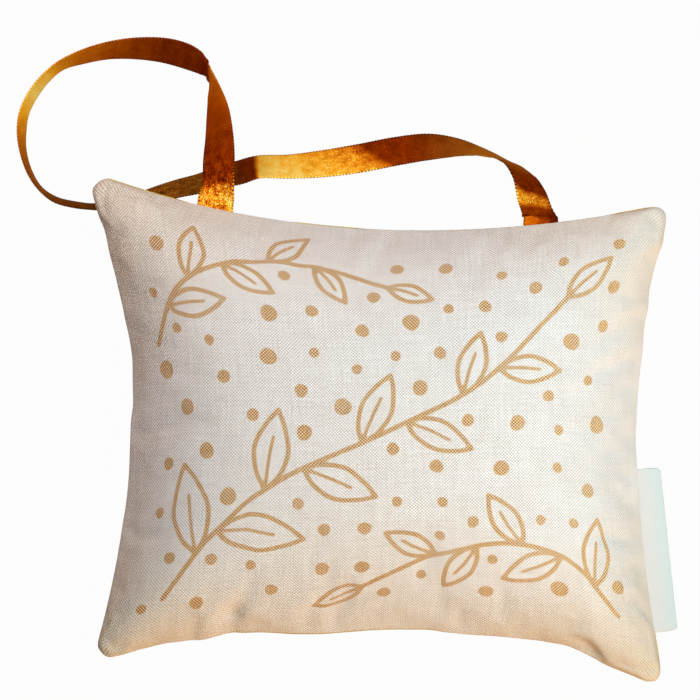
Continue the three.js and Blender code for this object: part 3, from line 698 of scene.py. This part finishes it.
# The ribbon's middle line and the way across it, evenly spaced from tail end to tail end
def ribbon_stations(spacing):
    slant, ease = math.radians(14), 3
    fine_steps, tail_steps, tail_rows = 6001, 30, 8
    left, right, way, out = root_points()
    start = np.array((*left, SEAM_HEIGHT))
    end = np.array((*right, SEAM_HEIGHT))
    knots = [start, *(np.array(row[:3], float) for row in RIBBON_ROUTE), end]
    leans = [np.zeros(2), *(np.array(row[3:], float) for row in RIBBON_ROUTE), np.zeros(2)]
    fine = np.linspace(0, 1, fine_steps)
    line = np.array([hermite(knots, t) for t in fine])
    tilt, turn = np.radians(np.array([hermite(leans, t, 0) for t in fine])).T[..., None]
    along = unit(np.gradient(line, axis=0))
    level = unit(np.stack([along[:, 1], -along[:, 0], np.zeros(len(along))], 1))
    rise = np.cross(level, along)
    onwards = np.stack([-level[:, 1], level[:, 0], np.zeros(len(level))], 1)
    across = (level * np.cos(turn) + onwards * np.sin(turn)) * np.cos(tilt) + rise * np.sin(tilt)
    # the right end goes into the seam slantwise
    flat, outwards = np.array((*way, 0.0)), np.array((*out, 0.0))
    slanted = math.cos(slant) * flat - math.sin(slant) * outwards
    travelled = travelled_along(line)
    for gone, target in ((travelled, flat), (travelled[-1] - travelled, -slanted)):
        pull = np.clip(1 - gone / ease, 0, 1)[:, None] ** 2
        across = across * (1 - pull) + target * pull
    inside = outwards * (RIBBON_SHOWS + TAIL_INSIDE)
    tail = np.linspace(1, 0, tail_steps, endpoint=False)[:, None]
    line = np.concatenate([start - inside * tail, line, end - inside * tail[::-1]])
    across = np.concatenate([np.tile(flat, (tail_steps, 1)), unit(across), np.tile(-slanted, (tail_steps, 1))])
    travelled = travelled_along(line)
    even = np.linspace(0, travelled[-1], int(travelled[-1] / spacing))
    last = len(knots) - 1
    rows = np.concatenate([
        np.linspace(-tail_rows, 0, tail_steps, endpoint=False), fine * last,
        last + np.linspace(0, tail_rows, tail_steps),
    ])
    line, across = (
        np.stack([np.interp(even, travelled, values[:, k]) for k in range(3)], 1) for values in (line, across)
    )
    return even, line, unit(across), np.interp(even, travelled, rows)


# From one of the beads along the ribbon's edges to the next
BEAD_PITCH = 0.83


def ribbon_piece():
    lanes, steps_to_bead, bead_depth, cup_height = 16, 4, 0.12, 0.1
    body_share, lane_spread = 0.985, 0.9
    gone, line, across, row = ribbon_stations(BEAD_PITCH / steps_to_bead)
    rows, low_edge, high_edge, lean, glitter = np.array(RIBBON_PAINTED_SHEEN).T
    normal = np.cross(across, unit(np.gradient(line, axis=0)))
    shape = bmesh.new()
    # painted sheen, shade and glints, set row by row along the ribbon from the table above
    lustre, painted_glint_layer, olive = (shape.verts.layers.float.new(key) for key in ("lustre", "glitter", "olive"))
    spots = {}
    for vert, i, j in grid_cells(shape, len(gone) - 1, lanes):
        share = 2 * j / lanes - 1
        rim = abs(share)
        bead = 0.5 + 0.5 * math.cos(2 * math.pi * gone[i] / BEAD_PITCH)
        reach = RIBBON_WIDTH / 2 * (rim ** lane_spread) * body_share
        if rim == 1:
            reach = RIBBON_WIDTH / 2 - bead_depth + bead_depth * bead
        cup = cup_height * (1 - rim**2)
        vert.co = Vector((line[i] + across[i] * math.copysign(reach, share) * (rim > 0) + normal[i] * cup) * MM)
        spots[vert] = (gone[i] / gone[-1], j / lanes)
        leaning = rows + lean * j / lanes
        painted_sheen_here = low_edge + (high_edge - low_edge) * j / lanes
        vert[lustre], vert[painted_glint_layer] = (np.interp(row[i], leaning, values) for values in (painted_sheen_here, glitter))
        vert[olive] = np.interp(row[i], *zip(*RIBBON_OLIVE))
    lay_map(shape, "ribbon", spots)
    piece = thicken(finished("satin_ribbon", shape), (RIBBON_THICKNESS - cup_height) * MM)
    return with_modifiers_applied(piece), line, gone[-1]


# Label: a strip of tape folded over, its fold outwards and both ends in the seam

# Both ends of the label's root, the way from one to the other, and the way out of the seam
def label_frame():
    half = LABEL_LENGTH / 2 / PILLOW_HEIGHT
    low = plan_point(1, LABEL_CENTRE_SHARE - half)
    high = plan_point(1, LABEL_CENTRE_SHARE + half)
    way = unit(high - low)
    return low, high, way, np.array((way[1], -way[0]))


def label_piece():
    lengthwise, rounding, rounded_ends, curl_height, curl_pace = 60, 1.3, 4, 0.05, 0.21
    low, high, way, out = label_frame()
    span = float(np.linalg.norm(high - low))
    layer = (LABEL_FOLD_GAP + LABEL_CLOTH) / 2
    reach = LABEL_REACH + LABEL_SHOWS
    # one layer from its cut edge to the fold: the way out, and the height in half layers
    upper = [
        (-LABEL_INSIDE, 1), (-2, 1), (0.4, 1), (1.6, 1.2), (2.8, 1.3), (4, 1.2), (reach - 0.5, 1.1),
        (reach - 0.16, 0.8), (reach - 0.08, 0),
    ]
    profile = [(x, z * layer) for x, z in upper] + [(x, -z * layer) for x, z in reversed(upper[:-1])]
    shape = bmesh.new()
    across = len(profile) - 1
    spots = {}
    for vert, i, j in grid_cells(shape, across, lengthwise):
        x, z = profile[i]
        share = j / lengthwise
        run = share * span
        end = min(run, span - run)
        outer = max(0.0, x - reach + rounding)
        corner = rounding - math.sqrt(max(0.0, rounding**2 - min(outer, rounding) ** 2))
        run += corner * (1 if share < 0.5 else -1) * max(0.0, 1 - end / rounded_ends)
        curl = curl_height * math.sin(run * curl_pace) * max(0.0, x) / reach
        at = low + way * run + out * x
        vert.co = Vector((at[0], at[1], SEAM_HEIGHT + z + curl)) * MM
        spots[vert] = (i / across, share)
    lay_map(shape, "tape", spots)
    return subdivide(thicken(finished("folded_label", shape), LABEL_CLOTH * 0.9 * MM), 1)


# Sewing threads, each along stations of u, v, the way in from the seam and the height over it

THREAD_RADIUS = 0.13
GAP_HALF = HAND_SEWN_LENGTH / 2 / (2 * HALF_BOTTOM)
GAP_START, GAP_END = HAND_SEWN_CENTRE_SHARE - GAP_HALF, HAND_SEWN_CENTRE_SHARE + GAP_HALF


def sewn_thread(name, stations):
    curve = bpy.data.curves.new(name, "CURVE")
    curve.dimensions = "3D"
    curve.bevel_depth = THREAD_RADIUS * MM
    curve.bevel_resolution = 2
    curve.use_fill_caps = True
    spline = curve.splines.new("POLY")
    spline.points.add(len(stations) - 1)
    for point, (u, v, inset, lift) in zip(spline.points, stations):
        x, y = inset_point(u, v, inset)
        point.co = (x * MM, y * MM, (SEAM_HEIGHT + lift) * MM, 1)
    drawn = linked("drawn_thread", curve)
    graph = bpy.context.evaluated_depsgraph_get()
    mesh = bpy.data.meshes.new_from_object(drawn.evaluated_get(graph))
    bpy.data.objects.remove(drawn)
    mesh.name = name
    return shaded(name, mesh)


# Hand stitches that close the turning gap, to and fro between the folds
def hand_stations():
    count, steps_to_stitch, depth, bite, lift = 129, 4, 0.9, 0.55, 0.2
    phases = np.arange(count) * math.pi / steps_to_stitch
    return [
        (share, 0, depth - bite * abs(math.cos(phase)), lift * math.sin(phase))
        for share, phase in zip(np.linspace(GAP_START, GAP_END, count), phases)
    ]


# Machine seam from one end of the gap round to the other, over or under both seam allowances
def machine_stations(side):
    first, last = 0.02, 0.98
    seam_inset, lift, dip, dips_every = 1.8, 0.44, 0.12, 3
    to_a_side, after_gap, before_gap = 150, 70, 40
    steps = np.linspace(first, last, to_a_side)
    way = [(s, 0) for s in np.linspace(GAP_END, last, after_gap)]
    way += [(1, s) for s in steps] + [(1 - s, 1) for s in steps] + [(0, 1 - s) for s in steps]
    way += [(s, 0) for s in np.linspace(first, GAP_START, before_gap)]
    return [(u, v, seam_inset, side * (lift - dip * (n % dips_every == 0))) for n, (u, v) in enumerate(way)]


# Filling: one heap of buds that reaches into the cover

def filling_piece(front, back):
    first, depth, more_depth = 2, 1.5, 0.3
    lumps, lump_pace, fine_lumps, fine_pace = 0.225, 0.35, 0.125, 0.9
    shape = bmesh.new()
    for face, sign in ((front, 1), (back, -1)):
        normal = normals_of(face, sign)
        cells = list(grid_cells(shape, COLUMNS - 2 * first, ROWS - 2 * first))
        for vert, i, j in cells:
            i, j = first + i, first + j
            at = face[i, j] - normal[i, j] * depth
            lump = noise.noise(Vector(at) * lump_pace) * lumps + noise.noise(Vector(at) * fine_pace) * fine_lumps
            vert.co = Vector(at - normal[i, j] * (more_depth + lump)) * MM
        if sign < 0:
            turned_over(shape, [vert for vert, _, _ in cells])
    bmesh.ops.bridge_loops(shape, edges=[e for e in shape.edges if e.is_boundary])
    bmesh.ops.recalc_face_normals(shape, faces=shape.faces)
    return finished("lavender_heap", shape)


# Shader wiring

class Wire:
    """A socket whose operators add Math nodes."""

    def __init__(self, tree, socket):
        self.tree, self.socket = tree, socket

    def maths(self, operation, *values):
        node = self.tree.nodes.new("ShaderNodeMath")
        node.operation = operation
        for place, value in zip(node.inputs, (self, *values)):
            feed(self.tree, place, value)
        return Wire(self.tree, node.outputs[0])

    def __add__(self, other): return self.maths("ADD", other)
    def __radd__(self, other): return self.maths("ADD", other)
    def __sub__(self, other): return self.maths("SUBTRACT", other)
    def __rsub__(self, other): return self.maths("MULTIPLY", -1).maths("ADD", other)
    def __mul__(self, other): return self.maths("MULTIPLY", other)
    def __rmul__(self, other): return self.maths("MULTIPLY", other)
    def __pow__(self, other): return self.maths("POWER", other)
    def __abs__(self): return self.maths("ABSOLUTE")

    # another output of the same node
    def output(self, key):
        return Wire(self.tree, self.socket.node.outputs[key])

    def clipped(self):
        return self.maths("MAXIMUM", 0).maths("MINIMUM", 1)


def feed(tree, place, value):
    if isinstance(value, Wire):
        tree.links.new(value.socket, place)
    else:
        place.default_value = value


class Finish:
    """A node material, with one method for every kind of node."""

    def __init__(self, name, tree=None):
        if tree is None:
            self.material = bpy.data.materials.new(name)
            self.material.use_nodes = True
            tree = self.material.node_tree
        tree.nodes.clear()
        self.tree = tree

    def node(self, kind, settings=None, inputs=None, output=0):
        node = self.tree.nodes.new("ShaderNode" + kind)
        for key, value in (settings or {}).items():
            if key == "stops":
                ramp = node.color_ramp
                while len(ramp.elements) < len(value):
                    ramp.elements.new(0.5)
                for element, (place, colour) in zip(ramp.elements, value):
                    element.position, element.color = place, (*colour, 1)
            else:
                setattr(node, key, value)
        for key, value in (inputs or {}).items():
            feed(self.tree, node.inputs[key], value)
        return Wire(self.tree, node.outputs[output]) if len(node.outputs) else None

    def blend_colours(self, share, first, second, kind="MIX"):
        settings = {"data_type": "RGBA", "blend_type": kind, "clamp_factor": True}
        return self.node("Mix", settings, {0: share, 6: rgba(first), 7: rgba(second)}, 2)

    def mapped(self, vector, scale):
        return self.node("Mapping", {}, {"Vector": vector, "Scale": scale})

    def attribute(self, name):
        return self.node("Attribute", {"attribute_name": name}, {}, 2)

    def grain(self, vector, scale, detail, roughness, output=0):
        inputs = {"Vector": vector, "Scale": scale, "Detail": detail, "Roughness": roughness}
        return self.node("TexNoise", {"noise_dimensions": "3D"}, inputs, output)

    def ramp(self, share, stops):
        return self.node("ValToRGB", {"stops": stops}, {"Fac": share})

    def bump(self, height, strength, distance):
        return self.node("Bump", {}, {"Strength": strength, "Distance": distance, "Height": height})

    # 1 to the eye and 0 to the light: what the camera sees straight, in a mirror or through glass
    def to_the_eye(self):
        rays = self.node("LightPath")
        seen, mirrored, through = (rays.output(f"Is {kind} Ray") for kind in ("Camera", "Glossy", "Transmission"))
        return (seen + mirrored + through).clipped()

    def surface(self, **inputs):
        shader = self.node("BsdfPrincipled", {}, {key.replace("_", " "): value for key, value in inputs.items()})
        self.node("OutputMaterial", {}, {"Surface": shader})
        return self.material


def rgba(colour):
    return colour if isinstance(colour, Wire) else (*colour, 1)


# sRGB numbers from 0 to 255, as a photograph gives them, to the linear ones that shaders take
def tone(red, green, blue):
    return tuple((c / 255 / 12.92) if c <= 10.3 else ((c / 255 + 0.055) / 1.055) ** 2.4 for c in (red, green, blue))


# Plain-woven cotton on the panel's own map, its weave painted fainter and its print paler to the right as painted
# glare. ink is the print's deep and pale colour.
def cotton(name, pale, deep, ink=None):
    f = Finish(name)
    cloth_map = f.node("UVMap", {"uv_map": "cloth"})
    place = f.mapped(cloth_map, (CUT_WIDTH * THREADS, CUT_HEIGHT * THREADS, 1))
    drift = f.node("SeparateColor", {}, {"Color": f.grain(place, 0.07, 2, 0.5, 1)})
    sideways = f.node("SeparateXYZ", {}, {"Vector": cloth_map})
    thread = f.node("SeparateXYZ", {}, {"Vector": place})
    x, y = (thread.output(k) + (drift.output(k) - 0.5) * 1.8 for k in (0, 1))
    wave_x, wave_y = (x * math.pi).maths("COSINE"), (y * math.pi).maths("COSINE")
    over = wave_x * wave_y
    warp = abs(wave_x) ** 0.7 * (over * 0.5 + 0.5)
    weft = abs(wave_y) ** 0.7 * (0.5 - over * 0.5)
    threads = warp.maths("MAXIMUM", weft)
    warp_slub = f.grain(f.mapped(place, (1, 0.03, 1)), 1, 3, 0.65)
    weft_slub = f.grain(f.mapped(place, (0.03, 1, 1)), 1, 3, 0.65)
    slub = warp_slub + weft_slub - 1
    blotch = f.grain(place, 0.045, 3, 0.6) - 0.5
    flecks = f.grain(place, 0.6, 2, 0.7) - 0.5
    uneven = f.grain(place, 0.16, 2, 0.5) * 1.3 + 0.35
    # painted glare: towards the right the weave's colour and bump fade and the print pales, as where the light
    # falls full on the cloth
    weave_under_painted_glare = 1 - ((sideways - 0.6) * 3).clipped() * 0.7
    checks = over * uneven * 1.2 + (threads - 0.6) * 0.3
    light = (0.62 + (checks + slub * 1.1 + flecks * 1.1 - 0.04) * weave_under_painted_glare + blotch * 0.4).clipped()
    colour = f.blend_colours(light, deep, pale)
    if ink:
        soft = f.attribute("ink_edge") - checks * 0.1 - flecks * 0.3
        cover = (0.5 - soft * 6).clipped()
        dry = (blotch * 0.5 + 0.94 + flecks * 0.5 - checks * 0.3).clipped()
        paleness = (0.44 + checks * 0.8 + flecks * 0.9 + slub * 0.6 + (1 - weave_under_painted_glare) * 0.4).clipped()
        inked = f.blend_colours(paleness, *ink)
        colour = f.blend_colours(cover * dry, colour, inked)
        # the corners are painted darker and warmer as shade, most of all the lower ones
        upwards = sideways.output(1)
        corners = ((abs(sideways * 2 - 1) + abs(upwards * 2 - 1) - 0.98) * 1.3).clipped()
        colour = f.blend_colours(corners * (1.1 - upwards * 0.5), colour, (0.9, 0.78, 0.61), "MULTIPLY")
    height = (threads * 0.6 + over * 0.2 + slub * 0.5 + flecks * 0.25) * weave_under_painted_glare
    return f.surface(
        Base_Color=colour, Roughness=0.92, Specular_IOR_Level=0.15, Sheen_Weight=0.08, Sheen_Roughness=0.6,
        Normal=f.bump(height, 0.6, 0.00024),
    )


def satin(name):
    length = 275
    f = Finish(name)
    ribbon_map = f.node("UVMap", {"uv_map": "ribbon"})
    place = f.mapped(ribbon_map, (length, RIBBON_WIDTH, 1))
    floats = f.grain(f.mapped(place, (0.7, 7, 1)), 1, 2, 0.6) - 0.5
    mottle = f.grain(f.mapped(place, (0.42, 0.55, 1)), 1, 3, 0.65) - 0.5
    flecks = f.grain(f.mapped(place, (2.2, 2.6, 1)), 1, 1, 0.7) - 0.5
    ripple = f.grain(f.mapped(place, (0.3, 0.12, 1)), 1, 2, 0.5) - 0.5
    along = f.node("SeparateXYZ", {}, {"Vector": ribbon_map})
    side = along.output(1)
    rim = (abs(side * 2 - 1) * 12 - 10.5).clipped()
    beads = (along * (length / BEAD_PITCH * 2 * math.pi)).maths("COSINE")
    lustre, glitter, olive = (f.attribute(name) for name in ("lustre", "glitter", "olive"))
    # painted sheen, shade and glints along the ribbon, with the weave's floats, ripples and mottles and the rim
    # beads; the copper ramp runs from painted shade to painted highlight
    shade = (
        lustre + floats * 0.16 + ripple * 0.22 + mottle * (glitter * 1.6 + 0.1) + flecks * (glitter * 1.3 + 0.1)
        + (flecks * 8 - 1.1).clipped() * glitter * 0.6 + rim * (beads * (glitter * 0.3 + 0.12) - 0.04)
    ).clipped()
    copper = f.ramp(shade, [
        (0.0, tone(76, 16, 0)), (0.12, tone(124, 40, 0)), (0.28, tone(168, 72, 4)), (0.46, tone(202, 106, 10)),
        (0.62, tone(228, 142, 26)), (0.8, tone(250, 180, 40)), (1.0, tone(255, 226, 120)),
    ])
    dull = f.blend_colours(shade, tone(62, 30, 6), tone(226, 160, 56))
    colour = f.blend_colours(olive, copper, dull)
    height = floats * 0.3 + mottle * 0.4 + flecks * 0.3 + beads * rim * 0.8 + ripple * 3
    return f.surface(
        Base_Color=colour, Metallic=0.3, Roughness=0.48, Specular_IOR_Level=0, Specular_Tint=(1, 0.5, 0.08, 1),
        Anisotropic=0.4, Normal=f.bump(height, 0.6, 0.00014),
    )


def tape(name):
    strip_width = 24
    f = Finish(name)
    own_map = f.node("UVMap", {"uv_map": "tape"})
    place = f.mapped(own_map, (strip_width, LABEL_LENGTH, 1))
    floats = f.grain(f.mapped(place, (12, 0.8, 1)), 1, 2, 0.6)
    weft = f.grain(f.mapped(place, (0.8, 7, 1)), 1, 2, 0.6)
    blotch = f.grain(place, 0.2, 2, 0.5)
    light = (floats * 0.5 + weft * 0.5 + blotch * 0.4 - 0.1).clipped()
    fold = f.node("SeparateXYZ", {}, {"Vector": own_map})
    outer = (1.3 - abs(fold * 2 - 1) * 1.9).clipped()
    colour = f.blend_colours(light, tone(202, 197, 191), tone(224, 218, 213))
    colour = f.blend_colours(outer * 0.8, colour, tone(194, 211, 207))
    return f.surface(
        Base_Color=colour, Roughness=0.62, Sheen_Weight=0.1,
        Normal=f.bump(floats * 0.5 + weft * 0.5, 0.35, 0.00008),
    )


def thread_finish(name, pale, deep):
    f = Finish(name)
    place = f.node("TexCoord", {}, {}, 3)
    twist = f.node(
        "TexWave", {"bands_direction": "DIAGONAL"},
        {"Vector": place, "Scale": 900, "Distortion": 1.5, "Detail": 1}, 1,
    )
    fuzz = f.grain(place, 5000, 2, 0.6)
    colour = f.blend_colours((twist * 0.7 + fuzz * 0.5 - 0.1).clipped(), deep, pale)
    return f.surface(
        Base_Color=colour, Roughness=0.7, Sheen_Weight=0.2, Normal=f.bump(twist + fuzz * 0.4, 0.5, 0.0001),
    )


def dried_buds(name):
    f = Finish(name)
    place = f.node("TexCoord", {}, {}, 3)
    cells = f.node("TexVoronoi", {"feature": "F1"}, {"Vector": place, "Scale": 380, "Randomness": 0.95})
    pick = f.node("SeparateColor", {}, {"Color": cells.output(1)})
    colour = f.ramp(pick, [
        (0, tone(74, 66, 92)), (0.35, tone(112, 100, 138)), (0.7, tone(128, 122, 108)), (1, tone(150, 144, 112)),
    ])
    # the hollows between the buds, away from each bud's middle, are painted dark as shade
    buds_and_painted_gap_shade = f.blend_colours((cells * 520).clipped(), colour, tone(58, 52, 60))
    return f.surface(Base_Color=buds_and_painted_gap_shade, Roughness=0.95, Normal=f.bump(1 - cells * 400, 0.8, 0.0006))


# Surroundings

def lit_backdrop():
    width, white, floor_colour, world_light = 3, (1, 1, 1), (0.3, 0.21, 0.14), (0.05, 0.05, 0.05)
    white_share = 0.975  # the rest of the floor shows the object's shadow
    shape = bmesh.new()
    bmesh.ops.create_grid(shape, x_segments=1, y_segments=1, size=width)
    floor = finished("floor", shape, False)
    f = Finish("floor")
    matt = f.node("BsdfDiffuse", {}, {"Color": rgba(floor_colour)})
    glow = f.node("Emission", {}, {"Color": rgba(white), "Strength": 1.0})
    mixed = f.node("MixShader", {}, {0: f.to_the_eye() * white_share, 1: matt, 2: glow})
    f.node("OutputMaterial", {}, {"Surface": mixed})
    floor.data.materials.append(f.material)

    world = bpy.data.worlds.new("studio")
    world.use_nodes = True
    bpy.context.scene.world = world
    w = Finish("studio", world.node_tree)
    colour = w.blend_colours(w.to_the_eye(), world_light, white)
    w.node("OutputWorld", {}, {"Surface": w.node("Background", {}, {"Color": colour, "Strength": 1.0})})


# A round lamp that points at the sachet
def lamp(name, spot, size, power, colour):
    target = Vector((0, 0.01, 0.02))
    light = bpy.data.lights.new(name, "AREA")
    light.shape = "DISK"
    light.size, light.energy, light.color = size, power, colour
    holder = linked(name, light)
    holder.location = spot
    holder.rotation_euler = (target - Vector(spot)).to_track_quat("-Z", "Y").to_euler()
    holder.visible_camera = False


# Making

bpy.context.scene.view_settings.view_transform = "Standard"
place_camera()

low, high, _, label_out = label_frame()
left_root, right_root, _, root_out = root_points()
ribbon, ribbon_line, ribbon_length = ribbon_piece()

# Places along the seam where something comes out of it, each with half its width
roots = [(tuple(root - root_out * RIBBON_SHOWS), RIBBON_WIDTH / 2) for root in (left_root, right_root)]
roots += [(tuple(low + (high - low) * share), 2.5) for share in np.linspace(0.05, 0.95, 12)]

front_face, back_face = settled(stuffed_cover())
front = panel("printed_front", front_face, 1, 2, roots)
back = panel("yellow_back", back_face, -1, 1, roots)
add_print(front)
heap = filling_piece(front_face, back_face)
label = label_piece()
stitches = sewn_thread("hand_stitches", hand_stations())
needle = sewn_thread("needle_stitches", machine_stations(1))
bobbin = sewn_thread("bobbin_stitches", machine_stations(-1))

print_ink = (tone(152, 98, 34), tone(242, 205, 146))
front.data.materials.append(cotton("printed_cotton", tone(249, 247, 246), tone(196, 182, 167), print_ink))
back.data.materials.append(cotton("yellow_cotton", tone(240, 212, 44), tone(184, 152, 16)))
ribbon.data.materials.append(satin("copper_satin"))
label.data.materials.append(tape("white_tape"))
heap.data.materials.append(dried_buds("dried_buds"))
pale_thread = thread_finish("cotton_thread", tone(232, 224, 208), tone(190, 178, 156))
for thread in (stitches, needle, bobbin):
    thread.data.materials.append(pale_thread)

# Movement: the cover, filling and threads go with the sachet's body, and the part's own pieces are hidden

for piece in (front, back, heap, stitches, needle, bobbin):
    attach(piece, "sachet")
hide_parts("front_panel")
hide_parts("back_panel")
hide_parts("lavender_filling")
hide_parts("closing_thread")
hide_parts("needle_thread")
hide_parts("bobbin_thread")
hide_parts("hanging_ribbon", "ribbon_end_left", "ribbon_end_right")
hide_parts("side_label", "label_sewn_edge")

ribbon_start = Vector(((left_root + right_root) / 2 * MM).tolist() + [SEAM_HEIGHT * MM])
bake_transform(ribbon)
label_middle = (low + high) / 2 + label_out * LABEL_SHOWS
label_start = Vector((label_middle[0] * MM, label_middle[1] * MM, SEAM_HEIGHT * MM))
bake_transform(label)

tuple(ribbon_line[0] * MM)
round(ribbon_length * MM, 4)
[tuple(p * MM) for p in ribbon_line[::4]]

lit_backdrop()
lamp("key", (0.15, 0.02, 0.385), 0.2, 1.54, (0.81, 0.94, 0.98))
lamp("fill", (-0.2, 0.29, 0.22), 0.2, 0.68, (1, 0.74, 0.66))
lamp("low", (0.44, -1.1, 0.18), 0.5, 10.8, (1, 0.6, 0.26))
